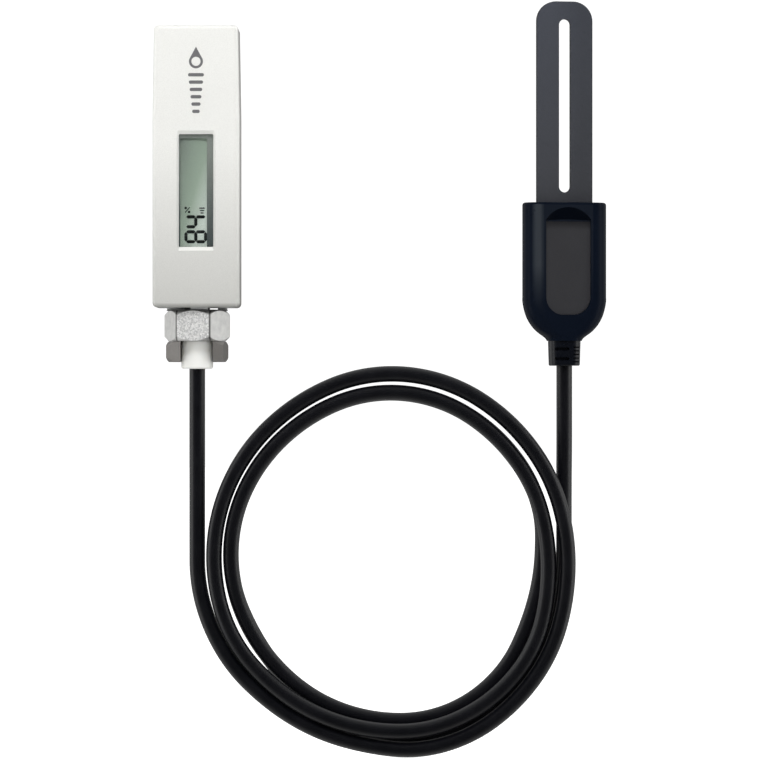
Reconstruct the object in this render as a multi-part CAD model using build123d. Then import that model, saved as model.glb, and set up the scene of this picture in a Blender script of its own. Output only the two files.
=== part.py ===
from build123d import *
import math
import os

# Soil moisture sensor: a wireless transmitter with a display, one metre-class
# coiled cable, and a flat soil probe. Millimetres. +Z is up, the display faces
# -Y. The origin is on the gland axis, level with the housing's underside.

# Transmitter housing
HOUSE_WIDTH = 28.6
HOUSE_TOP_WIDTH = 27.6
HOUSE_DEPTH = 26.0
HOUSE_HEIGHT = 92.5
TAPER_START = 62.0
WALL = 1.8
EDGE_RADIUS = 1.6
ROOF = 2.0
FIT_GAP = 0.05

# Display window
WINDOW_MID_Z = 38.3
WINDOW_WIDTH = 11.3
WINDOW_HEIGHT = 37.0
BEZEL_WIDTH = 12.7
BEZEL_HEIGHT = 39.4

# Depth levels inside the housing, front to back
FRONT = -HOUSE_DEPTH / 2
LENS_FRONT = FRONT + 0.85
LCD_FRONT = -10.9
BOARD_FRONT = -6.6
BOARD_BACK = -5.6

# Battery, one AA cell behind the board
CELL_Y = 3.3
CELL_RADIUS = 7.1
CELL_BOTTOM = 35.5
CELL_TOP = 86.0
CRADLE_INNER = 7.3
CRADLE_OUTER = 8.1

# Gland stem, nuts and sleeve under the housing
STEM_RADIUS = 5.5
STEM_BOTTOM = -11.0
CABLE_BORE = 2.72
THREAD_PITCH = 1.0
NUT_FLATS = 19.0
NUT_TOP = -1.0
NUT_BOTTOM = -10.9
LOCK_TOP = -11.0
LOCK_BOTTOM = -17.9
SLEEVE_RADIUS = 5.25
SLEEVE_BOTTOM = -20.1

# Cable
CABLE_RADIUS = 2.6
LUMEN_RADIUS = 1.6
CORE_RADIUS = 0.62
CORE_OFFSET = 0.8
GLAND_BEND_Z = -34.0
PROBE_BEND_Z = -32.0
GLAND_BEND_GAP = 1.2
PROBE_BEND_GAP = 0.8

# Probe
PROBE_X = 121.1
PROBE_TURN = 12.0
BLADE_WIDTH = 18.9
BLADE_TIP = 101.1
BLADE_ROOT = 6.0
BLADE_TIP_RADIUS = 6.6
SLOT_WIDTH = 3.8
SLOT_LOW = 38.1
SLOT_HIGH = 95.2
HEAD_WIDTH = 28.0
HEAD_THICK = 12.0
HEAD_TOP = 34.7
NECK_Z = -10.9
HEAD_CORNER = 5.7
# Height and half width of the head where it closes on the neck
HEAD_CLOSING = [
    (3.3, 14.0),
    (1.0, 13.85),
    (-1.7, 13.2),
    (-4.0, 12.25),
    (-6.2, 10.8),
    (-8.1, 8.9),
    (-9.6, 6.8),
    (NECK_Z, 5.6),
]
RELIEF_BOTTOM = -19.1
PROBE_PLACE = Pos(PROBE_X, 0, 0) * Rot(0, 0, PROBE_TURN)

# Turning points of the cable from the gland to the probe: X, Y, Z and the heading in
# degrees up from +X. It goes three and a half times round before it leaves upwards.
CABLE_TURNS = [
    (0.0, 0.0, GLAND_BEND_Z - GLAND_BEND_GAP, -90),
    (0.0, 0.0, -83.2, -90),
    (9.5, -0.6, -114.5, -57),
    (26.6, -0.9, -131.8, -36),
    (48.1, -1.3, -142.3, -16),
    (81.6, -1.6, -143.9, 16),
    (110.9, -2.1, -122.5, 54),
    (122.2, -2.6, -83.1, 91),
    (112.3, -2.6, -49.2, 123),
    (67.9, -2.6, -21.9, 176),
    (23.8, -2.6, -39.3, -136),
    (5.6, -2.6, -83.1, -89),
    (11.4, -3.1, -107.6, -63),
    (27.6, -3.5, -126.4, -38),
    (49.4, -3.5, -137.3, -15),
    (83.4, -3.2, -136.5, 21),
    (106.5, -2.8, -118.8, 54),
    (115.8, -2.7, -83.1, 92),
    (107.0, -2.6, -52.9, 123),
    (66.3, -2.6, -28.0, 177),
    (27.6, -2.6, -43.5, -136),
    (11.2, -2.3, -83.1, -88),
    (23.0, -1.2, -114.5, -52),
    (50.4, 1.4, -133.8, -17),
    (84.4, 1.8, -132.6, 24),
    (100.7, 2.0, -120.0, 51),
    (109.8, 2.2, -102.2, 71),
    (113.8, 2.6, -83.2, 86),
    (112.8, 2.8, -65.4, 105),
    (101.6, 2.8, -45.5, 132),
    (66.3, 2.8, -28.1, 177),
    (27.6, 2.9, -43.6, -136),
    (11.0, 3.4, -83.3, -88),
    (22.9, 4.3, -114.8, -55),
    (41.0, 6.0, -132.6, -32),
    (79.5, 4.4, -141.5, 12),
    (109.2, 3.3, -121.2, 52),
    (PROBE_X, 2.7, -78.2, 90),
    (PROBE_X, 2.7, -62.0, 90),
    (PROBE_X, 0.0, -40.0, 90),
    (PROBE_X, 0.0, PROBE_BEND_Z - PROBE_BEND_GAP, 90),
]


def block(x0, x1, y0, y1, z0, z1):
    """Plain box between two corners."""
    centre = Pos((x0 + x1) / 2, (y0 + y1) / 2, (z0 + z1) / 2)
    return centre * Box(x1 - x0, y1 - y0, z1 - z0)


def rod(x, y, z0, z1, radius):
    """Upright round bar."""
    return Pos(x, y, (z0 + z1) / 2) * Cylinder(radius, z1 - z0)


def ring(x, y, z0, z1, outer, inner):
    """Upright tube."""
    return rod(x, y, z0, z1, outer) - rod(x, y, z0 - 1, z1 + 1, inner)


def peg(x, z, y0, y1, radius):
    """Round bar lying along Y."""
    return Pos(x, (y0 + y1) / 2, z) * Rot(90, 0, 0) * Cylinder(radius, y1 - y0)


def rounded_bar(width, depth, radius, z0, z1):
    """Upright bar with rounded corners, centred on the axis."""
    return extrude(Pos(0, 0, z0) * RectangleRounded(width, depth, radius), z1 - z0)


def front_plate(x0, x1, z0, z1, y0, y1, radius):
    """Plate that faces the front, with rounded corners."""
    outline = Pos((x0 + x1) / 2, (z0 + z1) / 2) * RectangleRounded(x1 - x0, z1 - z0, radius)
    return extrude(Plane.XZ.offset(-y1) * outline, y1 - y0)


def front_shape(outline, y0, y1):
    """Any outline drawn in X and Z, given thickness from y0 back to y1."""
    return extrude(Plane.XZ.offset(-y1) * outline, y1 - y0)


def helical_groove(radius, depth, pitch, z0, z1):
    """V-shaped cutter that winds round the axis; a negative depth cuts outward."""
    helix = Pos(0, 0, z0) * Helix(pitch=pitch, height=z1 - z0, radius=radius)
    half = abs(depth) * 0.7
    lip = 0.1 if depth > 0 else -0.1
    start = Plane(origin=(radius, 0, z0), x_dir=(1, 0, 0), z_dir=(0, -1, 0))
    notch = start * Polygon((lip, half), (lip, -half), (-depth, 0), align=None)
    return sweep(notch, path=helix, is_frenet=True)


def chamfered_hex(z0, z1, turn, bevel, face_radius):
    """Hexagon across the nut's flats, with its corners turned off at both faces."""
    corner = NUT_FLATS / 2 / math.cos(math.radians(30))
    prism = extrude(Pos(0, 0, z0) * Rot(0, 0, turn) * RegularPolygon(corner, 6), z1 - z0)
    profile = Polygon(
        (0, z0),
        (face_radius, z0),
        (corner + 0.1, z0 + bevel),
        (corner + 0.1, z1 - bevel),
        (face_radius, z1),
        (0, z1),
        align=None,
    )
    return prism & revolve(Plane.XZ * profile, axis=Axis.Z)


# ---------------------------------------------------------------- housing


def housing_bar(inset, z0, z1):
    """Solid with the housing's outline drawn in by the inset: straight, then tapering."""
    low = (HOUSE_WIDTH - 2 * inset, HOUSE_DEPTH - 2 * inset)
    high = (HOUSE_TOP_WIDTH - 2 * inset, HOUSE_DEPTH - 2 * inset)
    radius = EDGE_RADIUS - inset * 0.5
    straight = rounded_bar(low[0], low[1], radius, z0, TAPER_START)
    upper = loft(
        [
            Pos(0, 0, TAPER_START) * RectangleRounded(low[0], low[1], radius),
            Pos(0, 0, z1) * RectangleRounded(high[0], high[1], radius),
        ]
    )
    return straight + upper


def window_bevel():
    """Tapered opening through the front wall."""
    mouth = Pos(0, WINDOW_MID_Z) * RectangleRounded(BEZEL_WIDTH, BEZEL_HEIGHT, 0.9)
    throat = Pos(0, WINDOW_MID_Z) * RectangleRounded(WINDOW_WIDTH, WINDOW_HEIGHT, 0.4)
    return loft([Plane.XZ.offset(-FRONT) * mouth, Plane.XZ.offset(-LENS_FRONT) * throat])


def outer_shell():
    shell = housing_bar(0, 0, HOUSE_HEIGHT)
    roof_face = shell.faces().sort_by(Axis.Z)[-1]
    shell = fillet(roof_face.edges(), 1.3)
    rim_face = shell.faces().sort_by(Axis.Z)[0]
    shell = fillet(rim_face.edges(), 1.5)
    shell -= housing_bar(WALL, -1, HOUSE_HEIGHT - ROOF)
    shell += block(-5, 5, -4.9, 8, 89.1, HOUSE_HEIGHT - 1)
    shell -= front_plate(-6.7, 6.7, 18.3, 58.3, LENS_FRONT, -11, 0.8)
    shell -= window_bevel()
    return shell


def window_lens():
    return front_plate(-6.6, 6.6, 18.4, 58.2, LENS_FRONT + 0.05, -11.25, 0.7)


def front_print():
    """Pad print: a water drop over a falling row of level bars."""
    drop = Pos(0, 80.6) * Circle(2.3)
    drop += Polygon((-2.0, 81.7), (2.0, 81.7), (0, 85.4), align=None)
    drop -= Pos(0, 80.6) * Circle(1.5)
    marks = [front_shape(drop, FRONT - 0.04, FRONT)]
    for step in range(6):
        width = 5.2 - 0.55 * step
        bar = Pos(0, 76.2 - 2.4 * step) * RectangleRounded(width, 1.1, 0.5)
        marks.append(front_shape(bar, FRONT - 0.04, FRONT))
    return marks


def roof_contact():
    """Sprung bridge under the roof from the cell's nub to the board's pad."""
    bridge = block(-4, 4, -5.35, 6.5, 88.5, 89.05)
    bridge += rod(0, CELL_Y, CELL_TOP + 0.08, 88.6, 2.6)
    bridge += block(-2, 2, -5.35, -4.95, 80, 88.6)
    return bridge


# ---------------------------------------------------------------- base


def base_plug():
    """Closure for the open bottom: gland hole, screw holes, seal groove and foot pads."""
    width = HOUSE_WIDTH - 2 * WALL - 2 * FIT_GAP
    depth = HOUSE_DEPTH - 2 * WALL - 2 * FIT_GAP
    plug = rounded_bar(width, depth, 0.7, 0, 6)
    groove = rounded_bar(width + 2, depth + 2, 0.7, 3.2, 4.8)
    groove -= rounded_bar(width - 2.2, depth - 2.2, 0.7, 3, 5)
    plug -= groove
    plug += block(-9.8, -4.2, -5, 5, -0.6, 0.1)
    plug += block(-1.8, 3.8, -9.5, -6.2, -0.6, 0.1)
    plug += block(6.9, 9.8, -3, 5, -0.6, 0.1)
    plug -= rod(0, 0, -2, 7, STEM_RADIUS + 0.1)
    plug -= rod(0, 0, 3, 7, 7.4)
    for x, y in screw_places():
        plug -= rod(x, y, -1, 7, 0.9)
        plug -= rod(x, y, -1, 1.3, 1.65)
    return plug


def plug_seal():
    width = HOUSE_WIDTH - 2 * WALL - 0.06
    depth = HOUSE_DEPTH - 2 * WALL - 0.06
    seal = rounded_bar(width, depth, 0.7, 3.3, 4.7)
    return seal - rounded_bar(width - 2, depth - 2, 0.7, 3, 5)


def screw_places():
    return [(sx * 9.7, sy * 8.7) for sx in (-1, 1) for sy in (-1, 1)]


def carrier_screws():
    """Four self-tapping screws that pull the carrier down on to the plug."""
    screws = []
    for x, y in screw_places():
        screw = rod(x, y, 0.15, 1.25, 1.6)
        screw += rod(x, y, 1.2, 11, 0.75)
        screw -= block(x - 0.2, x + 0.2, y - 1.1, y + 1.1, 0, 0.7)
        screw -= block(x - 1.1, x + 1.1, y - 0.2, y + 0.2, 0, 0.7)
        screws.append(screw)
    return screws


def carrier():
    """Inner frame: floor, two board rails, and a cradle for the cell."""
    frame = block(-12, 12, -10.8, 10.8, 6, 7.6)
    frame -= rod(0, 0, 5, 9, 7.6)
    for x, y in screw_places():
        frame += rod(x, y, 7, 12, 1.7)
    for side in (-1, 1):
        edges = sorted((side * 10.5, side * 11.8))
        frame += block(edges[0], edges[1], -7.6, 3.5, 7, 80)
        webs = sorted((side * 7.6, side * 10.7))
        frame += block(webs[0], webs[1], 2.6, 3.5, 29, 80)
    cradle = ring(0, CELL_Y, 29, 80, CRADLE_OUTER, CRADLE_INNER)
    cradle += rod(0, CELL_Y, 29, 30.1, CRADLE_OUTER - 0.2)
    cradle -= block(-9, 9, 8.7, 13, 28, 81)
    frame += cradle
    for x, y in screw_places():
        frame -= rod(x, y, 5, 11.4, 0.78)
    frame -= block(-11.1, 11.1, BOARD_FRONT - 0.05, BOARD_BACK + 0.05, 7.8, 90)
    return frame


def main_board():
    board = front_plate(-11, 11, 8, 86, BOARD_FRONT, BOARD_BACK, 0.6)
    for z in (14, 62):
        board -= peg(9, z, -8, -4, 0.9)
    return board


def board_passives():
    """Small surface-mount parts in two groups, above and below the display."""
    chips = []
    for row in range(3):
        for column in range(4):
            x = -8.4 + 1.9 * column
            z = 61.5 + 2.3 * row
            chips.append(block(x, x + 1.2, -7.2, BOARD_FRONT - 0.01, z, z + 0.8))
    for column in range(5):
        x = -9.5 + 1.8 * column
        chips.append(block(x, x + 1.1, BOARD_BACK + 0.01, -4.9, 25.6, 26.5))
    return chips


def mcu_chip():
    body = block(-8, -3, -7.6, BOARD_FRONT - 0.01, 68.6, 73.6)
    return fillet(body.faces().sort_by(Axis.Y)[0].edges(), 0.2)


def radio_module():
    base = block(-8.5, -0.5, -7.1, BOARD_FRONT - 0.01, 75.2, 84.6)
    can = block(-8, -1, -8.6, -7.05, 75.7, 84.1)
    return base + fillet(can.edges().filter_by(Axis.Y), 0.5)


def crystal_can():
    can = front_plate(0, 3.2, 69, 70.5, -7.5, BOARD_FRONT - 0.01, 0.6)
    return can


def antenna():
    """Helical spring aerial that stands in front of the board on one straight leg."""
    coil = Pos(6.5, -8.9, 65) * Helix(pitch=1.5, height=18, radius=1.6)
    start = coil @ 0
    wire = sweep(Plane(origin=start, z_dir=coil % 0) * Circle(0.25), path=coil, is_frenet=True)
    leg = Pos(start.X, (BOARD_FRONT - 0.01 + start.Y) / 2, start.Z)
    leg *= Rot(90, 0, 0) * Cylinder(0.3, BOARD_FRONT - 0.01 - start.Y)
    return wire + leg


def status_led():
    lamp = block(3.6, 5.2, -7.1, BOARD_FRONT - 0.01, 12.1, 12.9)
    return lamp + peg(4.4, 12.5, -7.45, -7.05, 0.38)


def button_body():
    body = block(-6.25, -1.75, -8.2, BOARD_FRONT - 0.01, 10.25, 14.75)
    return body - peg(-4, 12.5, -9, -7.3, 1.25)


def pairing_button():
    """Push cap of the pairing switch; travels into the switch body."""
    cap = peg(-4, 12.5, -9, -7.6, 1.2)
    return fillet(cap.faces().sort_by(Axis.Y)[0].edges(), 0.15)


# ---------------------------------------------------------------- display


def lcd_frame():
    frame = front_plate(-9.4, 8.6, 16.6, 59.8, LCD_FRONT - 0.25, BOARD_FRONT - 0.02, 0.8)
    frame -= front_plate(-5.25, 3.55, 19.0, 55.6, -12, -10, 0.3)
    frame -= block(-7, 6.4, LCD_FRONT, -6, 17.6, 58.8)
    return frame


def lcd_front_glass():
    return block(-6.8, 6.2, LCD_FRONT + 0.02, LCD_FRONT + 0.7, 17.8, 58.6)


def lcd_back_glass():
    return block(-6.8, 3.9, LCD_FRONT + 0.82, LCD_FRONT + 1.5, 17.8, 58.6)


def lcd_reflector():
    return block(-6.8, 3.9, LCD_FRONT + 1.52, LCD_FRONT + 1.7, 17.8, 58.6)


def segment_bar(length, stroke):
    """One display segment: a bar with pointed ends."""
    end = length / 2
    half = stroke / 2
    return Polygon(
        (-end, 0),
        (half - end, -half),
        (end - half, -half),
        (end, 0),
        (end - half, half),
        (half - end, half),
        align=None,
    )


def digit(lit, width, height, stroke):
    """Seven-segment figure from the letters of its lit segments."""
    a = (width - stroke) / 2
    b = (height - stroke) / 2
    level = segment_bar(2 * a - 0.12, stroke)
    upright = Rot(0, 0, 90) * segment_bar(b - 0.12, stroke)
    places = {
        "a": Pos(0, b) * level,
        "g": Pos(0, 0) * level,
        "d": Pos(0, -b) * level,
        "f": Pos(-a, b / 2) * upright,
        "b": Pos(a, b / 2) * upright,
        "e": Pos(-a, -b / 2) * upright,
        "c": Pos(a, -b / 2) * upright,
    }
    return [places[letter] for letter in lit]


def lcd_segments():
    """Two figures and small marks, turned a quarter turn so they read upward."""
    bars = []
    turn = Rot(0, 0, 90)
    for z, lit in ((23.2, "abcdefg"), (28.1, "bcfg")):
        for bar in digit(lit, 4.3, 7.5, 1.05):
            bars.append(Pos(-0.15, z) * turn * bar)
    bars.append(Pos(-2.35, 31.35) * Circle(0.42))
    bars.append(Pos(-3.45, 32.65) * Circle(0.42))
    bars.append(Pos(-2.9, 32.0) * Rot(0, 0, 140) * Rectangle(0.32, 2.3))
    for step in range(3):
        bars.append(Pos(1.9, 31.0 + 0.8 * step) * Rectangle(1.0 + 0.4 * step, 0.4))
    front = LCD_FRONT + 0.73
    return [front_shape(bar, front, front + 0.06) for bar in bars]


def zebra_strip():
    return block(4.5, 5.6, LCD_FRONT + 0.72, BOARD_FRONT - 0.02, 20, 56)


# ---------------------------------------------------------------- battery


def battery_can():
    can = rod(0, CELL_Y, CELL_BOTTOM, CELL_TOP - 1, CELL_RADIUS - 0.15)
    can -= ring(0, CELL_Y, CELL_TOP - 3, CELL_TOP - 2.4, 8, CELL_RADIUS - 0.6)
    return can - rod(0, CELL_Y, CELL_TOP - 1.5, CELL_TOP, 5.6)


def battery_jacket():
    return ring(0, CELL_Y, CELL_BOTTOM + 0.3, CELL_TOP - 3.2, CELL_RADIUS, CELL_RADIUS - 0.13)


def battery_insulator():
    return ring(0, CELL_Y, CELL_TOP - 1.48, CELL_TOP - 1.05, 5.55, 2.8)


def battery_positive_cap():
    cap = rod(0, CELL_Y, CELL_TOP - 1.48, CELL_TOP, 2.7)
    return fillet(cap.faces().sort_by(Axis.Z)[-1].edges(), 0.3)


def negative_contact():
    plate = rod(0, CELL_Y, 30.15, 30.55, 6.4)
    return plate + block(-1.5, 1.5, CELL_Y - 7.1, CELL_Y - 6, 30.15, 30.55)


def battery_spring():
    """Compression spring under the cell."""
    coil = Pos(0, CELL_Y, 30.95) * Helix(pitch=1.4, height=4.15, radius=4.4)
    section = Plane(origin=coil @ 0, z_dir=coil % 0) * Circle(0.36)
    return sweep(section, path=coil, is_frenet=True)


# ---------------------------------------------------------------- gland


def threaded_stem():
    """Hollow threaded gland stem with a flange inside the housing and a relief groove."""
    stem = rod(0, 0, STEM_BOTTOM, 5.3, STEM_RADIUS)
    stem += rod(0, 0, 3.7, 5.3, 7.2)
    stem -= helical_groove(STEM_RADIUS, 0.45, THREAD_PITCH, -11.6, 0.6)
    stem -= ring(0, 0, -1, 0.3, 8, 4.2)
    stem -= rod(0, 0, -12, 6, CABLE_BORE)
    return stem - rod(0, 0, -12, -5, 4.2)


def stem_seal():
    return ring(0, 0, 3.02, 3.68, 7.2, STEM_RADIUS + 0.05)


def flat_washer():
    return ring(0, 0, -0.98, -0.64, 10.1, STEM_RADIUS + 0.15)


def hex_nut():
    nut = chamfered_hex(NUT_BOTTOM, NUT_TOP, -7, 1.55, 9.5)
    nut -= rod(0, 0, -12, 0, STEM_RADIUS + 0.06)
    nut -= helical_groove(STEM_RADIUS + 0.06, -0.45, THREAD_PITCH, -11.6, 0.2)
    return nut


def lock_nut():
    """Slotted nut: the mouth lets it slip over the sleeve from behind."""
    nut = chamfered_hex(LOCK_BOTTOM, LOCK_TOP, 22, 1.6, 9.3)
    slot = rod(0, 0, -19, -10, SLEEVE_RADIUS + 0.08)
    slot += block(-SLEEVE_RADIUS - 0.08, SLEEVE_RADIUS + 0.08, -12, 0, -19, -10)
    return nut - slot


def cable_sleeve():
    """White sleeve under the stem, with a spigot up inside it."""
    sleeve = rod(0, 0, SLEEVE_BOTTOM, STEM_BOTTOM - 0.02, SLEEVE_RADIUS)
    foot = sleeve.faces().sort_by(Axis.Z)[0]
    sleeve = chamfer(foot.edges(), 0.5)
    sleeve += rod(0, 0, STEM_BOTTOM - 0.1, -5.1, 4.15)
    sleeve -= rod(0, 0, -21, -5, CABLE_BORE)
    return sleeve - rod(0, 0, -21, -16, 3.9)


def cable_grommet():
    grommet = rod(0, 0, -19.9, -16.05, 3.85)
    return grommet - rod(0, 0, -21, -15, CABLE_RADIUS + 0.03)


# ---------------------------------------------------------------- cable


def heading(degrees):
    """Direction in the plane of the coil."""
    return Vector(math.cos(math.radians(degrees)), 0, math.sin(math.radians(degrees)))


def joining_arcs(first, last):
    """Two arcs that leave one turning point and reach the next on their headings."""
    start, end = Vector(*first[:3]), Vector(*last[:3])
    leave, arrive = heading(first[3]), heading(last[3])
    span = end - start
    if span.cross(leave).length < 1e-6:
        return [Line(start, end)]
    square = 2 * (1 - leave.dot(arrive))
    linear = 2 * span.dot(leave + arrive)
    constant = -span.dot(span)
    reach = -constant / linear
    if square > 1e-9:
        reach = (math.sqrt(linear**2 - 4 * square * constant) - linear) / (2 * square)
    middle = (start + leave * reach + end - arrive * reach) / 2
    first_arc = TangentArc(start, middle, tangent=leave)
    return [first_arc, TangentArc(middle, end, tangent=first_arc % 1)]


def coil_path():
    """Centre line from the bend under the gland to the bend under the probe."""
    edges = []
    for first, last in zip(CABLE_TURNS, CABLE_TURNS[1:]):
        edges += joining_arcs(first, last)
    return Wire(edges)


def cable_jacket(path):
    start = Plane(origin=path @ 0, x_dir=(1, 0, 0), z_dir=path % 0)
    jacket = sweep(start * Circle(CABLE_RADIUS), path=path)
    return jacket - sweep(start * Circle(LUMEN_RADIUS), path=path)


def cable_cores(path):
    """Three insulated wires inside the jacket."""
    start = Plane(origin=path @ 0, x_dir=(1, 0, 0), z_dir=path % 0)
    cores = []
    for turn in (90, 210, 330):
        x = CORE_OFFSET * math.cos(math.radians(turn))
        y = CORE_OFFSET * math.sin(math.radians(turn))
        cores.append(sweep(start * Pos(x, y) * Circle(CORE_RADIUS), path=path))
    return cores


def gland_cable():
    """Short length of jacket from the gland's bend up through the stem."""
    return ring(0, 0, GLAND_BEND_Z + GLAND_BEND_GAP, 7, CABLE_RADIUS, LUMEN_RADIUS)


def gland_cores():
    """The wires rise out of the jacket and bend forward to the plug behind the board."""
    cores = []
    low = GLAND_BEND_Z + GLAND_BEND_GAP
    for turn, target in ((90, 0), (210, -1.6), (330, 1.6)):
        x = CORE_OFFSET * math.cos(math.radians(turn))
        y = CORE_OFFSET * math.sin(math.radians(turn))
        straight = rod(x, y, low, 7.5, CORE_RADIUS)
        rise = Spline((x, y, 7.5), (target, -3.5, 14.9), tangents=((0, 0, 1), (0, 0, 1)))
        cores.append(straight + sweep(Pos(x, y, 7.5) * Circle(CORE_RADIUS), path=rise))
    return cores


def wire_plug():
    plug = block(-3.6, 3.6, -5.2, -1.8, 14.9, 19.4)
    plug -= block(-3.6, 3.6, -2.1, -1.7, 16, 18.4)
    return plug


def wire_header():
    header = block(-4.2, 4.2, BOARD_BACK + 0.02, -1.4, 17.5, 23)
    return header - block(-3.65, 3.65, -5.25, -1.75, 17, 19.45)


def tail_cable():
    """Jacket from the probe's bend up into the probe head."""
    return ring(0, 0, PROBE_BEND_Z + PROBE_BEND_GAP, -2, CABLE_RADIUS, LUMEN_RADIUS)


def tail_cores():
    cores = []
    for turn in (90, 210, 330):
        x = CORE_OFFSET * math.cos(math.radians(turn))
        y = CORE_OFFSET * math.sin(math.radians(turn))
        cores.append(rod(x, y, PROBE_BEND_Z + PROBE_BEND_GAP, BLADE_ROOT - 0.1, CORE_RADIUS))
    return cores


# ---------------------------------------------------------------- probe


def blade_outline(inset, low):
    """Blade outline drawn in by the inset, with rounded tip corners and the long slot."""
    width = BLADE_WIDTH - 2 * inset
    high = BLADE_TIP - inset
    face = Pos(0, (low + high) / 2) * Rectangle(width, high - low)
    tips = face.vertices().sort_by(Axis.Y)[-2:]
    face = fillet(tips, BLADE_TIP_RADIUS - inset)
    length = SLOT_HIGH - SLOT_LOW + 2 * inset
    slot = Pos(0, (SLOT_LOW + SLOT_HIGH) / 2) * Rot(0, 0, 90)
    slot *= SlotOverall(length, SLOT_WIDTH + 2 * inset)
    return face - slot


def blade_core():
    return front_shape(blade_outline(0, BLADE_ROOT), -0.6, 0.6)


def electrode(side):
    """Copper layer set in from the blade's edges, on one face."""
    levels = sorted((side * 0.61, side * 0.66))
    return front_shape(blade_outline(1.2, 29), levels[0], levels[1])


def blade_mask(side):
    """Protective coating over the copper, on one face."""
    levels = sorted((side * 0.67, side * 0.82))
    return front_shape(blade_outline(0.05, 30), levels[0], levels[1])


def probe_chip():
    body = block(-2.5, 2.5, -1.7, -0.62, 15.5, 20.5)
    return fillet(body.faces().sort_by(Axis.Y)[0].edges(), 0.2)


def probe_passives():
    chips = []
    for column in range(5):
        x = -6.3 + 2.9 * column
        chips.append(block(x - 0.6, x + 0.6, -1.2, -0.62, 11.6, 12.4))
        chips.append(block(x - 0.6, x + 0.6, -1.2, -0.62, 23.6, 24.4))
    return chips


def head_section(z, half_width):
    """Rounded cross-section of the probe head, thinner as it narrows."""
    thick = HEAD_THICK - 2.0 * (1 - half_width / (HEAD_WIDTH / 2))
    corner = min(HEAD_CORNER, thick * 0.475, half_width * 0.8)
    return Pos(0, 0, z) * RectangleRounded(2 * half_width, thick, corner)


def head_recess():
    """Shallow label seat in the front, with a sloping crescent at its top."""
    seat = Pos(0, 13.2) * Rectangle(15.2, 31.2)
    seat = fillet(seat.vertices().sort_by(Axis.Y)[:2], 6.0)
    cutter = front_shape(seat, -7, -5.2)
    mouth = make_face(
        [
            Line((-7.6, 26), (7.6, 26)),
            Line((7.6, 26), (7.6, 29)),
            ThreePointArc((7.6, 29), (0, 33.2), (-7.6, 29)),
            Line((-7.6, 29), (-7.6, 26)),
        ]
    )
    floor = make_face(
        [
            Line((-7.6, 26), (7.6, 26)),
            Line((7.6, 26), (7.6, 28.5)),
            ThreePointArc((7.6, 28.5), (0, 29.0), (-7.6, 28.5)),
            Line((-7.6, 28.5), (-7.6, 26)),
        ]
    )
    slope = loft([Plane.XZ.offset(6.02) * mouth, Plane.XZ.offset(5.2) * floor])
    return cutter + slope


def probe_head():
    """Moulded head over the blade's root, with a cavity for its small board."""
    upper = rounded_bar(HEAD_WIDTH, HEAD_THICK, HEAD_CORNER, 3.3, HEAD_TOP)
    upper = fillet(upper.faces().sort_by(Axis.Z)[-1].edges(), 0.9)
    lower = loft([head_section(z, half) for z, half in HEAD_CLOSING])
    head = upper + lower
    head -= head_recess()
    head -= block(-9.5, 9.5, -0.87, 0.87, 5.7, 40)
    head -= block(-8.2, 8.2, -3.1, 0.87, 7.5, 27.5)
    head -= rod(0, 0, -12, -1.8, CABLE_RADIUS + 0.02)
    return head - rod(0, 0, -2, 6, LUMEN_RADIUS)


def label_inlay():
    """Thin blank plate on the floor of the seat."""
    seat = Pos(0, 13.0) * Rectangle(15.1, 30.7)
    seat = fillet(seat.vertices().sort_by(Axis.Y)[:2], 5.95)
    return front_shape(seat, -5.35, -5.21)


def potting():
    """Resin that fills the head's cavity round the small board."""
    fill = block(-8.1, 8.1, -3.0, -0.62, 7.6, 27.4)
    fill -= block(-2.6, 2.6, -1.8, 0, 15.4, 20.6)
    for column in range(5):
        x = -6.3 + 2.9 * column
        fill -= block(x - 0.7, x + 0.7, -1.3, 0, 11.5, 12.5)
        fill -= block(x - 0.7, x + 0.7, -1.3, 0, 23.5, 24.5)
    return fill


def strain_relief():
    """Flexible collar with half-way slits on one side and short ribs on the other."""
    wide = Pos(0, 0, NECK_Z - 0.03) * RectangleRounded(10.3, 9.4, 3.5)
    narrow = Pos(0, 0, RELIEF_BOTTOM) * RectangleRounded(9.8, 9.0, 3.3)
    collar = loft([narrow, wide])
    collar = fillet(collar.faces().sort_by(Axis.Z)[0].edges(), 0.5)
    for z in (-13.6, -16.8):
        collar -= front_plate(-4.1, 0.6, z - 0.5, z + 0.5, -6, -2.9, 0.45)
        collar -= front_plate(-0.6, 4.1, z - 0.5, z + 0.5, 2.9, 6, 0.45)
    for step in range(5):
        z = -13.0 - 1.2 * step
        collar -= front_plate(2.0, 6, z - 0.22, z + 0.22, -6, -3.3, 0.2)
        collar -= front_plate(-6, -2.0, z - 0.22, z + 0.22, 3.3, 6, 0.2)
    return collar - rod(0, 0, -20, -10, CABLE_RADIUS + 0.03)


# ---------------------------------------------------------------- output


def save(name, shape):
    """Write one node: a single solid, or a group of separate solids."""
    if isinstance(shape, list):
        shape = Compound(children=[item.solid() for item in shape])
    export_step(shape, os.path.join("parts", name + ".step"))


def save_probe_part(name, shape):
    """Write one node of the probe, moved and turned into its place."""
    if isinstance(shape, list):
        save(name, [PROBE_PLACE * item for item in shape])
        return
    save(name, PROBE_PLACE * shape)


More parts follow.
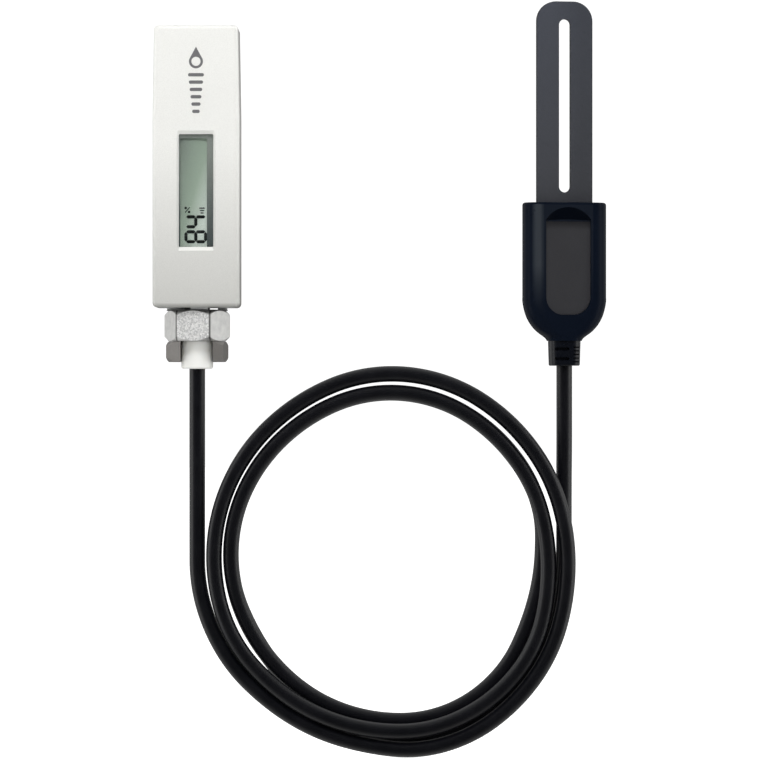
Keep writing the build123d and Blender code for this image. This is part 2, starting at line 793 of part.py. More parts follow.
def main():
    os.makedirs("parts", exist_ok=True)

    save("outer_shell", outer_shell())
    save("window_lens", window_lens())
    save("front_print", front_print())
    save("roof_contact", roof_contact())

    save("base_plug", base_plug())
    save("plug_seal", plug_seal())
    save("carrier", carrier())
    save("carrier_screws", carrier_screws())
    save("main_board", main_board())
    save("board_passives", board_passives())
    save("mcu_chip", mcu_chip())
    save("radio_module", radio_module())
    save("crystal_can", crystal_can())
    save("antenna", antenna())
    save("status_led", status_led())
    save("button_body", button_body())
    save("pairing_button", pairing_button())

    save("lcd_frame", lcd_frame())
    save("lcd_front_glass", lcd_front_glass())
    save("lcd_segments", lcd_segments())
    save("lcd_back_glass", lcd_back_glass())
    save("lcd_reflector", lcd_reflector())
    save("zebra_strip", zebra_strip())

    save("battery_can", battery_can())
    save("battery_jacket", battery_jacket())
    save("battery_insulator", battery_insulator())
    save("battery_positive_cap", battery_positive_cap())
    save("negative_contact", negative_contact())
    save("battery_spring", battery_spring())

    save("threaded_stem", threaded_stem())
    save("stem_seal", stem_seal())
    save("flat_washer", flat_washer())
    save("hex_nut", hex_nut())
    save("lock_nut", lock_nut())
    save("cable_sleeve", cable_sleeve())
    save("cable_grommet", cable_grommet())

    path = coil_path()
    save("gland_cable", gland_cable())
    save("gland_cores", gland_cores())
    save("wire_plug", wire_plug())
    save("wire_header", wire_header())
    save("coil_cable", cable_jacket(path))
    save("coil_cores", cable_cores(path))

    save_probe_part("tail_cable", tail_cable())
    save_probe_part("tail_cores", tail_cores())
    save_probe_part("probe_head", probe_head())
    save_probe_part("label_inlay", label_inlay())
    save_probe_part("potting", potting())
    save_probe_part("strain_relief", strain_relief())
    save_probe_part("blade_core", blade_core())
    save_probe_part("electrode_front", electrode(-1))
    save_probe_part("electrode_back", electrode(1))
    save_probe_part("blade_mask_front", blade_mask(-1))
    save_probe_part("blade_mask_back", blade_mask(1))
    save_probe_part("probe_chip", probe_chip())
    save_probe_part("probe_passives", probe_passives())


main()
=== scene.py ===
import math

import bmesh
import bpy
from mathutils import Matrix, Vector


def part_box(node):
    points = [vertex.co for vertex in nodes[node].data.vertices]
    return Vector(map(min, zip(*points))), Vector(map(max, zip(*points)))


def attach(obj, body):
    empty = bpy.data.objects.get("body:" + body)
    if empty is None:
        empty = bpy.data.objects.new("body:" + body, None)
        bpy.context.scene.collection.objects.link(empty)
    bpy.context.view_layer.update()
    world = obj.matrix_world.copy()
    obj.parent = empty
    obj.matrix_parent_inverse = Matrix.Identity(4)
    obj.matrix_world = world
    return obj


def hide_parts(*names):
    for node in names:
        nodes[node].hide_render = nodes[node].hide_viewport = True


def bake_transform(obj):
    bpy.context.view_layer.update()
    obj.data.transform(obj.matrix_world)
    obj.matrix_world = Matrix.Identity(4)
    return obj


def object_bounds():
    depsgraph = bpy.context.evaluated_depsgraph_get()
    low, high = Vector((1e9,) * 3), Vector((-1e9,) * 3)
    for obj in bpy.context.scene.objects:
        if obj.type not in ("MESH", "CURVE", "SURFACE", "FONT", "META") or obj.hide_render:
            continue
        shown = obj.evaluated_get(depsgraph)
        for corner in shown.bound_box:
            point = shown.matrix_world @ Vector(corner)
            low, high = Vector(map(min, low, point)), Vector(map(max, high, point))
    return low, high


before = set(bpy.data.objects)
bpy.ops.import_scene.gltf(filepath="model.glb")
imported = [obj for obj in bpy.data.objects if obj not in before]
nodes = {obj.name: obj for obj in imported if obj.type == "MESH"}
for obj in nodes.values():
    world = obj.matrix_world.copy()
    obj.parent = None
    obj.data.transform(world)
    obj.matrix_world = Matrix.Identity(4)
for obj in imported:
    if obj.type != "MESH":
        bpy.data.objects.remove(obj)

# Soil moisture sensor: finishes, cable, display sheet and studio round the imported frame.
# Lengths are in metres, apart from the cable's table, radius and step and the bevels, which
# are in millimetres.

cad_low, cad_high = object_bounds()
MM = 0.001
WHITE = (1.0, 1.0, 1.0)


# ---------------------------------------------------------------- node trees

# sockets of the colour mix node
MIX_FACTOR, MIX_FIRST, MIX_SECOND, MIX_RESULT = 0, 6, 7, 2


class Graph:
    """Node tree of one material or world, built node by node."""

    def __init__(self, owner, output):
        owner.use_nodes = True
        self.owner = owner
        self.tree = owner.node_tree
        self.tree.nodes.clear()
        self.out = self.tree.nodes.new(output)
        self.coord = self.tree.nodes.new("ShaderNodeTexCoord")

    def feed(self, target, value):
        """Give an input a socket, a colour, a vector or a number."""
        if hasattr(value, "is_output"):
            self.tree.links.new(value, target)
        elif target.type == "RGBA":
            target.default_value = (*value, 1)
        else:
            target.default_value = value

    def node(self, kind, inputs=None, **settings):
        """New node with its settings, then its inputs by name or number."""
        made = self.tree.nodes.new(kind)
        for key, value in settings.items():
            setattr(made, key, value)
        for key, value in (inputs or {}).items():
            self.feed(made.inputs[key], value)
        return made

    def axis(self, which, space="Object"):
        """One coordinate of the point."""
        return self.node("ShaderNodeSeparateXYZ", {0: self.coord.outputs[space]}).outputs[which]

    def map(self, source, low, high, to_low, to_high):
        """The value carried from one range to another and held inside it."""
        inputs = {
            "Value": source,
            "From Min": low,
            "From Max": high,
            "To Min": to_low,
            "To Max": to_high,
        }
        return self.node("ShaderNodeMapRange", inputs).outputs["Result"]

    def maths(self, kind, first, second=0.0):
        """One sum on two values; each is a number or a socket."""
        return self.node("ShaderNodeMath", {0: first, 1: second}, operation=kind).outputs[0]

    def mix_shaders(self, factor, first, second):
        """Blend of two shader nodes."""
        inputs = {0: factor, 1: first.outputs[0], 2: second.outputs[0]}
        return self.node("ShaderNodeMixShader", inputs)

    def surface(self, shader):
        """Make the shader the surface, and return the material or world."""
        self.feed(self.out.inputs["Surface"], shader.outputs[0])
        return self.owner


class Shade(Graph):
    """One procedural material."""

    def __init__(self, name):
        super().__init__(bpy.data.materials.new(name), "ShaderNodeOutputMaterial")

    def noise(self, scale, detail=3.0, roughness=0.55, stretch=None):
        """Noise in the object's own space; the scale is in features per metre."""
        source = self.coord.outputs["Object"]
        if stretch:
            mapping = self.node("ShaderNodeMapping", {"Vector": source, "Scale": stretch})
            source = mapping.outputs["Vector"]
        inputs = {"Vector": source, "Scale": scale, "Detail": detail, "Roughness": roughness}
        return self.node("ShaderNodeTexNoise", inputs).outputs["Fac"]

    def ramp(self, source, stops):
        """Colour ramp from (place, colour) stops."""
        made = self.node("ShaderNodeValToRGB", {"Fac": source})
        elements = made.color_ramp.elements
        for index, (place, colour) in enumerate(stops):
            element = elements[index] if index < 2 else elements.new(place)
            element.position = place
            element.color = (*colour, 1)
        return made.outputs["Color"]

    def tones(self, noise, dark, light):
        """Colours from dark to light over the middle of the noise's range."""
        return self.ramp(noise, [(0.3, dark), (0.7, light)])

    def spread(self, noise, low, high):
        """Values from low to high over the middle of the noise's range."""
        return self.map(noise, 0.3, 0.7, low, high)

    def along(self, which, low, high):
        """Mask that goes from 0 to 1 between two places on an axis."""
        return self.map(self.axis(which), low, high, 0.0, 1.0)

    def dot(self, space, direction):
        """How far the point or the normal reaches along the direction."""
        inputs = {0: self.coord.outputs[space], 1: direction}
        made = self.node("ShaderNodeVectorMath", inputs, operation="DOT_PRODUCT")
        return made.outputs["Value"]

    def facing(self, direction, low, high):
        """Mask that is 1 where the surface faces the direction."""
        return self.map(self.dot("Normal", Vector(direction).normalized()), low, high, 0, 1)

    def mix(self, factor, first, second, blend="MIX"):
        """Colour mix; each input is a value or a socket."""
        inputs = {MIX_FACTOR: factor, MIX_FIRST: first, MIX_SECOND: second}
        made = self.node("ShaderNodeMix", inputs, data_type="RGBA", blend_type=blend)
        return made.outputs[MIX_RESULT]

    def multiply(self, first, second):
        """Product of two colours."""
        return self.mix(1.0, first, second, "MULTIPLY")

    def darken(self, base, mask, colour):
        """The base times the colour where the mask is 0, and unchanged where it is 1."""
        return self.multiply(base, self.ramp(mask, [(0.0, colour), (1.0, WHITE)]))

    def bump(self, height, strength, distance):
        """Normal roughened by the height."""
        inputs = {"Height": height, "Strength": strength, "Distance": distance}
        return self.node("ShaderNodeBump", inputs).outputs["Normal"]

    def finish(self, colour, rough, metal, normal, coat=0.0, spec=0.5, **more):
        """Principled surface; each argument is a value or a socket."""
        inputs = {
            "Base Color": colour,
            "Roughness": rough,
            "Metallic": metal,
            "Coat Weight": coat,
            "Specular IOR Level": spec,
            "Normal": normal,
        }
        for key, value in more.items():
            inputs[key.replace("_", " ").title()] = value
        return self.surface(self.node("ShaderNodeBsdfPrincipled", inputs))


# ---------------------------------------------------------------- materials


def grey(level):
    return (level, level, level)


def tint(colour, gain):
    return tuple(min(1.0, channel * gain) for channel in colour)


def moulded(
    name, colour, rough, grain=2500, depth=0.00002, spread=0.06, metal=0.0, coat=0.0, spec=0.5
):
    """Moulded or coated surface: fine grain, slow colour drift, uneven sheen."""
    shade = Shade(name)
    fine = shade.noise(grain, 3)
    dark, light = tint(colour, 1 - spread), tint(colour, 1 + spread)
    slow = shade.tones(shade.noise(60, 4), dark, light)
    speck = shade.ramp(fine, [(0.35, dark), (0.65, light)])
    base = shade.mix(0.35, slow, speck)
    sheen = shade.spread(shade.noise(350, 4), rough * 0.88, min(1.0, rough * 1.12))
    return shade.finish(base, sheen, metal, shade.bump(fine, 0.35, depth), coat, spec)


def metal(name, colour, rough):
    """Turned or drawn metal: stretched scratches over a bright base."""
    shade = Shade(name)
    lines = shade.noise(1800, 5, 0.6, (1, 1, 12))
    base = shade.tones(lines, tint(colour, 0.86), tint(colour, 1.08))
    sheen = shade.spread(lines, rough * 0.8, rough * 1.3)
    return shade.finish(base, sheen, 1.0, shade.bump(lines, 0.3, 0.00001))


def clear(name, colour, haze, gloss):
    """Thin clear sheet: see-through with a faint reflection and faint dust."""
    shade = Shade(name)
    dust = shade.map(shade.noise(900, 5), 0.55, 0.8, 0.0, haze)
    through = shade.node("ShaderNodeBsdfTransparent", {"Color": colour})
    glossy = shade.node("ShaderNodeBsdfGlossy", {"Roughness": 0.06})
    milky = shade.node("ShaderNodeBsdfDiffuse", {"Color": (0.8, 0.82, 0.8)})
    weight = shade.node("ShaderNodeLayerWeight", {"Blend": 0.25})
    amount = shade.map(weight.outputs["Fresnel"], 0, 1, gloss, 0.8)
    sheet = shade.mix_shaders(amount, through, glossy)
    return shade.surface(shade.mix_shaders(dust, sheet, milky))


def housing_paint():
    """Pearl silver-white lacquer: fine flake, slight orange peel; painted shade greys it towards
    its foot and along its bottom edge, and a painted highlight pales faces turned up and forward.
    """
    shade = Shade("housing_paint")
    # painted shade: darker towards the foot, paler towards the top
    body = shade.mix(shade.along("Z", 0.0, 0.054), (0.61, 0.61, 0.585), (0.9, 0.9, 0.87))
    # painted highlight on faces turned up and forward, such as the window's lower bevel
    bevel = shade.facing((0, -0.816, 0.578), 0.96, 0.995)
    body = shade.mix(bevel, body, (0.97, 0.97, 0.94))
    # painted shade along the bottom edge, in its lowest 1.6 mm
    body = shade.darken(body, shade.along("Z", 0.0002, 0.0016), grey(0.6))
    flake = shade.tones(shade.noise(5200, 2), grey(0.9), WHITE)
    drift = shade.tones(shade.noise(22, 3), grey(0.97), WHITE)
    base = shade.multiply(shade.multiply(body, flake), drift)
    sheen = shade.spread(shade.noise(700, 3), 0.32, 0.42)
    peel = shade.noise(1300, 2)
    return shade.finish(base, sheen, 0.05, shade.bump(peel, 0.12, 0.00002), 0.2)


def reflector_film():
    """Grey-green rear film of the display, with painted shade darkening it towards its upper left.
    """
    shade = Shade("reflector_film")
    # painted shade: darker to the upper left, lighter to the lower right
    across = shade.map(shade.axis("X"), -0.0052, 0.0036, 0.0, 0.45)
    down = shade.map(shade.axis("Z"), 0.056, 0.019, 0.0, 0.55)
    painted_shade_ramp = shade.ramp(
        shade.maths("ADD", across, down),
        [(0.0, (0.27, 0.3, 0.27)), (0.5, (0.47, 0.55, 0.46)), (0.8, (0.93, 0.97, 0.92))],
    )
    fine = shade.noise(4500, 2)
    base = shade.mix(0.1, painted_shade_ramp, shade.tones(fine, (0.4, 0.45, 0.4), (0.8, 0.9, 0.8)))
    return shade.finish(base, 0.55, 0.0, shade.bump(fine, 0.2, 0.00001), 0.0, 0.2)


def frame_plastic_and_painted_shade():
    """Dark display frame whose darkness is partly painted shade on the window's recess walls;
    painted shade leaves it paler and duller towards the top.
    """
    shade = Shade("lcd_frame")
    # painted shade: darker towards the bottom, paler towards the top; the dark plastic stands in
    # partly for shade on the recess walls
    base = shade.mix(shade.along("Z", 0.022, 0.05), (0.1, 0.12, 0.12), (0.33, 0.35, 0.32))
    fine = shade.noise(3000, 3)
    base = shade.multiply(base, shade.tones(fine, grey(0.88), WHITE))
    return shade.finish(base, 0.5, 0.0, shade.bump(fine, 0.2, 0.00001), 0.0, 0.3)


# the nut's front flat is turned a little off the front
NUT_FRONT = (-0.122, -0.993, 0)
NUT_ACROSS = (0.993, -0.122, 0)
# how far the painted shade lines down the corners lie from the middle of the front flat
NUT_CORNER = 0.00555


def nut_metal():
    """Plated nut: smooth sides, crystalline front flat, with painted shade as dark lines down the
    corners beside it.
    """
    shade = Shade("nut_metal")
    inputs = {"Vector": shade.coord.outputs["Object"], "Scale": 2300}
    cells = shade.node("ShaderNodeTexVoronoi", inputs)
    fine = shade.noise(2600, 4)
    face = shade.facing(NUT_FRONT, 0.93, 0.97)
    smooth = shade.tones(shade.noise(500, 4), (0.7, 0.7, 0.69), (0.84, 0.84, 0.82))
    grit = shade.ramp(cells.outputs["Color"], [(0.25, grey(0.54)), (0.75, (0.87, 0.87, 0.86))])
    # painted shade: dark lines down the two corners beside the front flat
    reach = shade.maths("ABSOLUTE", shade.dot("Object", NUT_ACROSS))
    gap = shade.maths("ABSOLUTE", shade.maths("SUBTRACT", reach, NUT_CORNER))
    off_corner_shade = shade.map(gap, 0.00012, 0.0004, 0.0, 1.0)
    base = shade.darken(shade.mix(face, smooth, grit), off_corner_shade, grey(0.2))
    rough = shade.map(face, 0, 1, 0.3, 0.5)
    sheen = shade.map(face, 0, 1, 0.85, 0.2)
    grains = shade.maths("MULTIPLY", cells.outputs["Distance"], face)
    height = shade.maths("ADD", grains, shade.maths("MULTIPLY", fine, 0.12))
    return shade.finish(base, rough, sheen, shade.bump(height, 0.55, 0.00018))


def cable_skin():
    """Black flexible jacket with a faint drawn texture."""
    shade = Shade("cable_skin")
    fine = shade.noise(3200, 3)
    slow = shade.noise(140, 4)
    base = shade.tones(slow, (0.0034, 0.0036, 0.0054), (0.005, 0.0052, 0.0076))
    rough = shade.spread(slow, 0.36, 0.42)
    return shade.finish(base, rough, 0.0, shade.bump(fine, 0.15, 0.00001))


def inlay_plate():
    """Charcoal textured plate, with painted shade darkening it along its top edge."""
    shade = Shade("inlay_plate")
    fine = shade.noise(3600, 3)
    grain = shade.tones(fine, (0.029, 0.029, 0.033), (0.035, 0.035, 0.04))
    drift = shade.tones(shade.noise(80, 4), grey(0.92), WHITE)
    # painted shade along the plate's top edge, under the recess's top wall
    below_painted_shade = shade.along("Z", 0.0284, 0.0255)
    base = shade.darken(shade.multiply(grain, drift), below_painted_shade, (0.3, 0.3, 0.32))
    return shade.finish(base, 0.48, 0.0, shade.bump(fine, 0.3, 0.00002))


def sleeve_nylon():
    """Milky white nylon that lets some light soak through."""
    shade = Shade("sleeve_nylon")
    fine = shade.noise(2200, 3)
    base = shade.tones(shade.noise(160, 3), (0.97, 0.97, 0.92), (1.0, 1.0, 0.95))
    rough = shade.spread(fine, 0.3, 0.42)
    return shade.finish(
        base,
        rough,
        0.0,
        shade.bump(fine, 0.2, 0.00001),
        subsurface_weight=0.3,
        subsurface_radius=(1.0, 0.95, 0.85),
        subsurface_scale=0.003,
    )


def head_plastic():
    """Blue-black satin plastic, with a painted highlight on the gentle flank and painted shade in
    the scoop above the seat.
    """
    shade = Shade("head_plastic")
    fine = shade.noise(2600, 3)
    slow = shade.noise(60, 4)
    # painted highlight: paler where the flank turns a little left of the front, fading out towards
    # the bottom; the gloss follows it too
    turned = shade.facing((-0.14, -0.99, 0), 0.91, 0.995)
    upper = shade.along("Z", -0.003, 0.014)
    sheen = shade.maths("POWER", shade.maths("MULTIPLY", turned, upper), 1.7)
    # painted shade: darker where the surface above the seat faces down
    downward = shade.facing((0, 0, -1), 0.08, 0.17)
    scoop = shade.maths("MULTIPLY", downward, shade.along("Z", 0.026, 0.0275))
    deep = shade.tones(slow, (0.0032, 0.0055, 0.0115), (0.0044, 0.007, 0.014))
    base = shade.mix(sheen, deep, (0.03, 0.036, 0.045))
    base = shade.mix(scoop, base, (0.0014, 0.0024, 0.005))
    rough = shade.spread(slow, 0.27, 0.33)
    gloss = shade.map(sheen, 0, 1, 0.04, 0.35)
    return shade.finish(base, rough, 0.0, shade.bump(fine, 0.15, 0.00001), 0.0, gloss)


def blade_coating():
    """Dark slate coating with a fine matt texture; painted shade darkens it towards its root and
    its right side, so it is a little paler at the tip.
    """
    shade = Shade("blade_coating")
    fine = shade.noise(4200, 3)
    # painted shade: darker towards the root, paler at the tip
    base = shade.mix(shade.along("Z", 0.035, 0.1), (0.045, 0.046, 0.053), (0.058, 0.064, 0.084))
    # painted shade: darker towards the blade's right side
    side = shade.ramp(shade.along("X", 0.117, 0.127), [(0.0, WHITE), (1.0, grey(0.72))])
    base = shade.multiply(base, side)
    grain = shade.tones(fine, (0.036, 0.039, 0.046), (0.07, 0.075, 0.09))
    rough = shade.spread(shade.noise(90, 4), 0.42, 0.52)
    return shade.finish(shade.mix(0.35, base, grain), rough, 0.0, shade.bump(fine, 0.25, 0.00002))


skin = cable_skin()
seal = moulded("seal_rubber", (0.02, 0.02, 0.02), 0.6)
black_chip = moulded("chip_black", (0.015, 0.015, 0.017), 0.45)
tan_chip = moulded("chip_tan", (0.32, 0.24, 0.16), 0.5, spread=0.25)
shield = metal("shield_metal", (0.62, 0.62, 0.6), 0.32)
spring = metal("spring_steel", (0.66, 0.66, 0.64), 0.24)
cream = moulded("plug_cream", (0.72, 0.68, 0.56), 0.4)
copper = metal("copper_foil", (0.78, 0.42, 0.28), 0.35)
lcd_clear = clear("lcd_glass", (0.97, 0.985, 0.97), 0.02, 0.01)
coating = blade_coating()
film = reflector_film()

PAINT = {
    "outer_shell": housing_paint(),
    "window_lens": clear("lens_clear", (0.97, 0.98, 0.98), 0.03, 0.03),
    "front_print": moulded("print_grey", (0.15, 0.15, 0.155), 0.5, 6000),
    "roof_contact": metal("contact_brass", (0.8, 0.62, 0.33), 0.3),
    "base_plug": moulded("base_plastic", (0.42, 0.43, 0.43), 0.42),
    "plug_seal": seal,
    "stem_seal": seal,
    "cable_grommet": seal,
    "carrier": moulded("carrier_plastic", (0.05, 0.055, 0.06), 0.5),
    "carrier_screws": spring,
    "main_board": moulded("board_mask", (0.015, 0.1, 0.045), 0.3, 1500, spread=0.15),
    "board_passives": tan_chip,
    "battery_insulator": tan_chip,
    "probe_passives": tan_chip,
    "mcu_chip": black_chip,
    "button_body": black_chip,
    "probe_chip": black_chip,
    "radio_module": shield,
    "crystal_can": shield,
    "antenna": metal("aerial_wire", (0.85, 0.62, 0.3), 0.25),
    "status_led": moulded("led_lens", (0.75, 0.72, 0.5), 0.15),
    "pairing_button": moulded("button_cap", (0.6, 0.6, 0.57), 0.4),
    "lcd_frame": frame_plastic_and_painted_shade(),
    "lcd_front_glass": lcd_clear,
    "lcd_back_glass": film,
    "lcd_segments": moulded("lcd_ink", (0.012, 0.014, 0.014), 0.5, 6000, 0.000002),
    "lcd_reflector": film,
    "zebra_strip": moulded("zebra_rubber", (0.5, 0.45, 0.42), 0.6, spread=0.2),
    "battery_can": metal("cell_steel", (0.64, 0.64, 0.63), 0.28),
    "battery_positive_cap": metal("cell_cap", (0.68, 0.68, 0.66), 0.22),
    "battery_jacket": moulded("cell_jacket", (0.04, 0.12, 0.3), 0.22, spread=0.1, coat=0.4),
    "negative_contact": spring,
    "battery_spring": spring,
    "threaded_stem": moulded("stem_plastic", (0.35, 0.35, 0.35), 0.4),
    "flat_washer": moulded("washer_dark", (0.03, 0.03, 0.03), 0.5),
    "hex_nut": nut_metal(),
    "lock_nut": moulded("lock_nut_grey", (0.19, 0.18, 0.17), 0.42, spread=0.1, metal=0.2),
    "cable_sleeve": sleeve_nylon(),
    "gland_cores": moulded("wire_red", (0.4, 0.03, 0.025), 0.35),
    "coil_cores": moulded("wire_white", (0.6, 0.6, 0.58), 0.35),
    "tail_cores": moulded("wire_blue", (0.04, 0.08, 0.4), 0.35),
    "wire_plug": cream,
    "wire_header": cream,
    "probe_head": head_plastic(),
    "label_inlay": inlay_plate(),
    "potting": moulded("resin_dark", (0.015, 0.015, 0.018), 0.2),
    "strain_relief": moulded(
        "relief_black", (0.0032, 0.0042, 0.0075), 0.3, 2600, 0.00001, 0.1, spec=0.3
    ),
    "blade_core": moulded("laminate_edge", (0.018, 0.02, 0.024), 0.5),
    "electrode_front": copper,
    "electrode_back": copper,
    "blade_mask_front": coating,
    "blade_mask_back": coating,
}

# the CAD cable, in three lengths, is replaced below and takes no finish
for name, piece in nodes.items():
    piece.data.materials.clear()
    if name in PAINT:
        piece.data.materials.append(PAINT[name])


def new_object(name, mesh, material):
    """Object made of the bmesh, which is used up."""
    data = bpy.data.meshes.new(name)
    mesh.to_mesh(data)
    mesh.free()
    made = bpy.data.objects.new(name, data)
    bpy.context.scene.collection.objects.link(made)
    data.materials.append(material)
    return made


# ---------------------------------------------------------------- cable

CABLE_RADIUS = 2.6
TUBE_SIDES = 28
STEP = 1.0  # between the rings of a tube
STRAIGHT = 1e-6  # how far off a line still counts as on it
PARALLEL = 1e-9  # how little two headings may differ to count as the same
# X, Y, Z in millimetres and the heading in degrees up from +X at each turning point
COIL_TURNS = [
    (0.0, 0.0, -83.2, -90),
    (9.5, -0.6, -114.5, -57),
    (26.6, -0.9, -131.8, -36),
    (48.1, -1.3, -142.3, -16),
    (81.6, -1.6, -143.9, 16),
    (110.9, -2.1, -122.5, 54),
    (122.2, -2.6, -83.1, 91),
    (112.3, -2.6, -49.2, 123),
    (67.9, -2.6, -21.9, 176),
    (23.8, -2.6, -39.3, -136),
    (5.6, -2.6, -83.1, -89),
    (11.4, -3.1, -107.6, -63),
    (27.6, -3.5, -126.4, -38),
    (49.4, -3.5, -137.3, -15),
    (83.4, -3.2, -136.5, 21),
    (106.5, -2.8, -118.8, 54),
    (115.8, -2.7, -83.1, 92),
    (107.0, -2.6, -52.9, 123),
    (66.3, -2.6, -28.0, 177),
    (27.6, -2.6, -43.5, -136),
    (11.2, -2.3, -83.1, -88),
    (23.0, -1.2, -114.5, -52),
    (50.4, 1.4, -133.8, -17),
    (84.4, 1.8, -132.6, 24),
    (100.7, 2.0, -120.0, 51),
    (109.8, 2.2, -102.2, 71),
    (113.8, 2.6, -83.2, 86),
    (112.8, 2.8, -65.4, 105),
    (101.6, 2.8, -45.5, 132),
    (66.3, 2.8, -28.1, 177),
    (27.6, 2.9, -43.6, -136),
    (11.0, 3.4, -83.3, -88),
    (22.9, 4.3, -114.8, -55),
    (41.0, 6.0, -132.6, -32),
    (79.5, 4.4, -141.5, 12),
    (109.2, 3.3, -121.2, 52),
    (121.1, 2.7, -78.2, 90),
    (121.1, 2.7, -62.0, 90),
]
LEAD_IN = [(0.0, 0.0, 6.5, -90), COIL_TURNS[0]]
LEAD_OUT = [
    COIL_TURNS[-1],
    (121.1, 0.0, -40.0, 90),
    (121.1, 0.0, -2.5, 90),
]


def arc_samples(start, heading, end, step):
    """Points and headings from start up to end on the arc that leaves on the heading."""
    chord = end - start
    side = chord - heading * chord.dot(heading)
    if side.length < STRAIGHT:
        count = max(1, round(chord.length / step))
        return [(start + chord * (i / count), heading.copy()) for i in range(count)], heading.copy()
    inward = side.normalized()
    radius = chord.length_squared / (2 * chord.dot(inward))
    angle = 2 * math.atan2(chord.dot(inward), chord.dot(heading))
    centre = start + inward * radius
    count = max(2, round(radius * angle / step))
    found = []
    for i in range(count):
        turn = angle * i / count
        place = centre + radius * (heading * math.sin(turn) - inward * math.cos(turn))
        found.append((place, heading * math.cos(turn) + inward * math.sin(turn)))
    return found, heading * math.cos(angle) + inward * math.sin(angle)


def heading_of(turn):
    """Direction of the cable at a turning point."""
    slope = math.radians(turn[3])
    return Vector((math.cos(slope), 0, math.sin(slope)))


def route(turns, step):
    """Smooth line through the turning points, two arcs between each pair."""
    line = []
    for first, last in zip(turns, turns[1:]):
        start, end = Vector(first[:3]), Vector(last[:3])
        leave, arrive = heading_of(first), heading_of(last)
        span = end - start
        if span.cross(leave).length < STRAIGHT:
            line += arc_samples(start, leave, end, step)[0]
            continue
        # the arcs meet half way between two points at the same reach along the headings
        square = 2 * (1 - leave.dot(arrive))
        linear = 2 * span.dot(leave + arrive)
        reach = span.length_squared / linear
        if square > PARALLEL:
            root = math.sqrt(linear**2 + 4 * square * span.length_squared)
            reach = (root - linear) / (2 * square)
        middle = (start + leave * reach + end - arrive * reach) / 2
        part, heading = arc_samples(start, leave, middle, step)
        line += part
        line += arc_samples(middle, heading, end, step)[0]
    line.append((Vector(turns[-1][:3]), heading_of(turns[-1])))
    return line


def tube(name, turns):
    """Cable length through the turns; its open ends lie inside other pieces or meet the next."""
    mesh = bmesh.new()
    across = Vector((0, 1, 0))
    rings = []
    for place, heading in route(turns, STEP):
        across = (across - heading * across.dot(heading)).normalized()
        other = heading.cross(across)
        ring = []
        for i in range(TUBE_SIDES):
            turn = 2 * math.pi * i / TUBE_SIDES
            out = across * math.cos(turn) + other * math.sin(turn)
            ring.append(mesh.verts.new((place + out * CABLE_RADIUS) * MM))
        rings.append(ring)
    for low, high in zip(rings, rings[1:]):
        for i in range(TUBE_SIDES):
            j = (i + 1) % TUBE_SIDES
            mesh.faces.new((low[i], low[j], high[j], high[i])).smooth = True
    bmesh.ops.recalc_face_normals(mesh, faces=mesh.faces)
    piece = new_object(name, mesh, skin)
    return piece


lead_in = tube("cable_lead_in", LEAD_IN)
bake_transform(lead_in)
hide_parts("gland_cable")

coil = tube("cable_coil", COIL_TURNS)
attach(coil, "cable")
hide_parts("coil_cable")

lead_out = tube("cable_lead_out", LEAD_OUT)
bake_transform(lead_out)
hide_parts("tail_cable")


# ---------------------------------------------------------------- display

PANE_CORNER = 0.4 * MM
PANE_STEPS = 4  # flats in each rounded corner


def glass_pane(name, low, high, material):
    """Front sheet of the display: rounded-corner face and edges, open at the back."""
    corners = (
        (high.x - PANE_CORNER, high.z - PANE_CORNER, 0),
        (low.x + PANE_CORNER, high.z - PANE_CORNER, 90),
        (low.x + PANE_CORNER, low.z + PANE_CORNER, 180),
        (high.x - PANE_CORNER, low.z + PANE_CORNER, 270),
    )
    outline = []
    for x, z, start in corners:
        for step in range(PANE_STEPS + 1):
            turn = math.radians(start + 90 * step / PANE_STEPS)
            outline.append((x + PANE_CORNER * math.cos(turn), z + PANE_CORNER * math.sin(turn)))
    mesh = bmesh.new()
    front = [mesh.verts.new((x, low.y, z)) for x, z in outline]
    back = [mesh.verts.new((x, high.y, z)) for x, z in outline]
    mesh.faces.new(front)
    count = len(outline)
    for i in range(count):
        j = (i + 1) % count
        mesh.faces.new((front[i], back[i], back[j], front[j]))
    bmesh.ops.recalc_face_normals(mesh, faces=mesh.faces)
    return new_object(name, mesh, material)


pane = glass_pane("lcd_pane", *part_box("lcd_front_glass"), lcd_clear)
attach(pane, "base")
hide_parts("lcd_front_glass")


# ---------------------------------------------------------------- edges

# bevel width of each piece in millimetres, on corners sharper than the angle in degrees
SOFT_EDGES = {
    "outer_shell": 0.12,
    "base_plug": 0.15,
    "hex_nut": 0.22,
    "lock_nut": 0.22,
    "probe_head": 0.2,
    "strain_relief": 0.15,
    "carrier": 0.12,
    "lcd_frame": 0.1,
}
SHARP_CORNER = 32

for name, width in SOFT_EDGES.items():
    bevel = nodes[name].modifiers.new("soft_edges", "BEVEL")
    bevel.width = width * MM
    bevel.segments = 2
    bevel.limit_method = "ANGLE"
    bevel.angle_limit = math.radians(SHARP_CORNER)
    bevel.harden_normals = True


# ---------------------------------------------------------------- studio

FLOOR_HALF = 6.0
FLOOR_GAP = 0.0005
CAMERA_DISTANCE = 1.8
CAMERA_X, CAMERA_Z = 0.0603, -0.0238
SENSOR_MM = 36
SEEN_WIDTH = 0.2508  # what the photograph spans at the part: 760 pixels of 0.33 mm


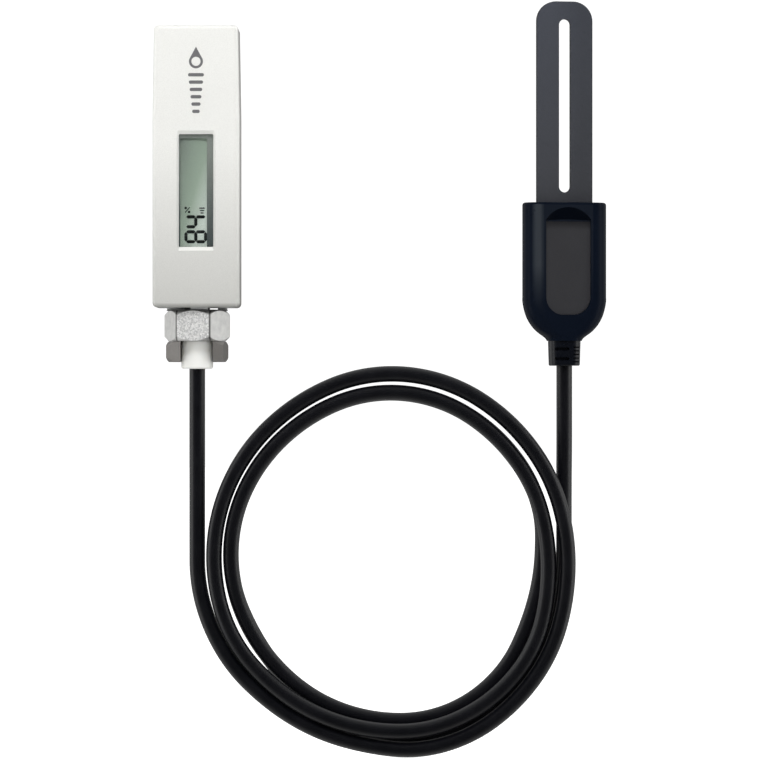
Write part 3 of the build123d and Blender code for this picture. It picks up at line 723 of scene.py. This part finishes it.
def backdrop_world():
    """White to the camera; round the part it is bright at the sides, dim in front and behind."""
    world = bpy.data.worlds.new("studio")
    graph = Graph(world, "ShaderNodeOutputWorld")
    depth = graph.axis("Y", "Generated")
    front = graph.map(depth, -0.8, 0.2, 0.02, 0.75)
    behind = graph.map(depth, 0.72, 0.95, 1.0, 0.06)
    level = graph.maths("MULTIPLY", front, behind)
    lit = graph.node("ShaderNodeBackground", {"Color": (1, 1, 0.99), "Strength": level})
    seen = graph.node("ShaderNodeBackground", {"Color": WHITE, "Strength": 1.1})
    path = graph.node("ShaderNodeLightPath")
    graph.surface(graph.mix_shaders(path.outputs["Is Camera Ray"], lit, seen))
    bpy.context.scene.world = world


def area(name, place, target, width, height, power, mirrored=True):
    """Soft light aimed at the target; unless mirrored, no surface reflects its outline."""
    light = bpy.data.lights.new(name, "AREA")
    light.shape = "RECTANGLE"
    light.size, light.size_y = width, height
    light.energy = power
    lamp = bpy.data.objects.new(name, light)
    lamp.location = place
    lamp.rotation_mode = "QUATERNION"
    aim = Vector(target) - Vector(place)
    lamp.rotation_quaternion = aim.to_track_quat("-Z", "Y")
    lamp.visible_glossy = mirrored
    bpy.context.scene.collection.objects.link(lamp)


def floor():
    """Pale seamless floor just under the coil, lifted to white for the camera."""
    shade = Shade("floor_paper")
    paper = shade.tones(shade.noise(40, 4), (0.8, 0.8, 0.79), (0.84, 0.84, 0.83))
    diffuse = shade.node("ShaderNodeBsdfDiffuse", {"Color": paper})
    path = shade.node("ShaderNodeLightPath")
    lift = shade.maths("MULTIPLY", path.outputs["Is Camera Ray"], 0.9)
    glow = shade.node("ShaderNodeEmission", {"Strength": lift})
    inputs = {0: diffuse.outputs[0], 1: glow.outputs[0]}
    shade.surface(shade.node("ShaderNodeAddShader", inputs))
    mesh = bmesh.new()
    level = cad_low.z - FLOOR_GAP
    corners = ((-1, -1), (1, -1), (1, 1), (-1, 1))
    mesh.faces.new([mesh.verts.new((x * FLOOR_HALF, y * FLOOR_HALF, level)) for x, y in corners])
    sheet = new_object("studio_floor", mesh, shade.owner)
    sheet.visible_glossy = False


def camera():
    """Camera square on to the front, as in the photograph."""
    data = bpy.data.cameras.new("camera")
    data.type = "PERSP"
    data.sensor_width = SENSOR_MM
    data.lens = SENSOR_MM * CAMERA_DISTANCE / SEEN_WIDTH
    data.clip_end = 50
    made = bpy.data.objects.new("camera", data)
    made.location = (CAMERA_X, -CAMERA_DISTANCE, CAMERA_Z)
    made.rotation_euler = (math.radians(90), 0, 0)
    bpy.context.scene.collection.objects.link(made)
    bpy.context.scene.camera = made


backdrop_world()
floor()
area("key_top", (-0.02, -0.5, 0.45), (0.0, 0, 0.06), 0.3, 0.2, 2.3, False)
area("front_fill", (0.06, -1.3, 0.1), (0.06, 0, 0.0), 0.9, 0.9, 5.5, False)
area("side_left", (-0.9, -0.12, 0.05), (0.06, 0, -0.02), 0.3, 1.2, 2.2)
area("side_right", (1.02, -0.12, 0.05), (0.06, 0, -0.02), 0.3, 1.2, 2.2)
camera()
bpy.context.scene.view_settings.view_transform = "Standard"
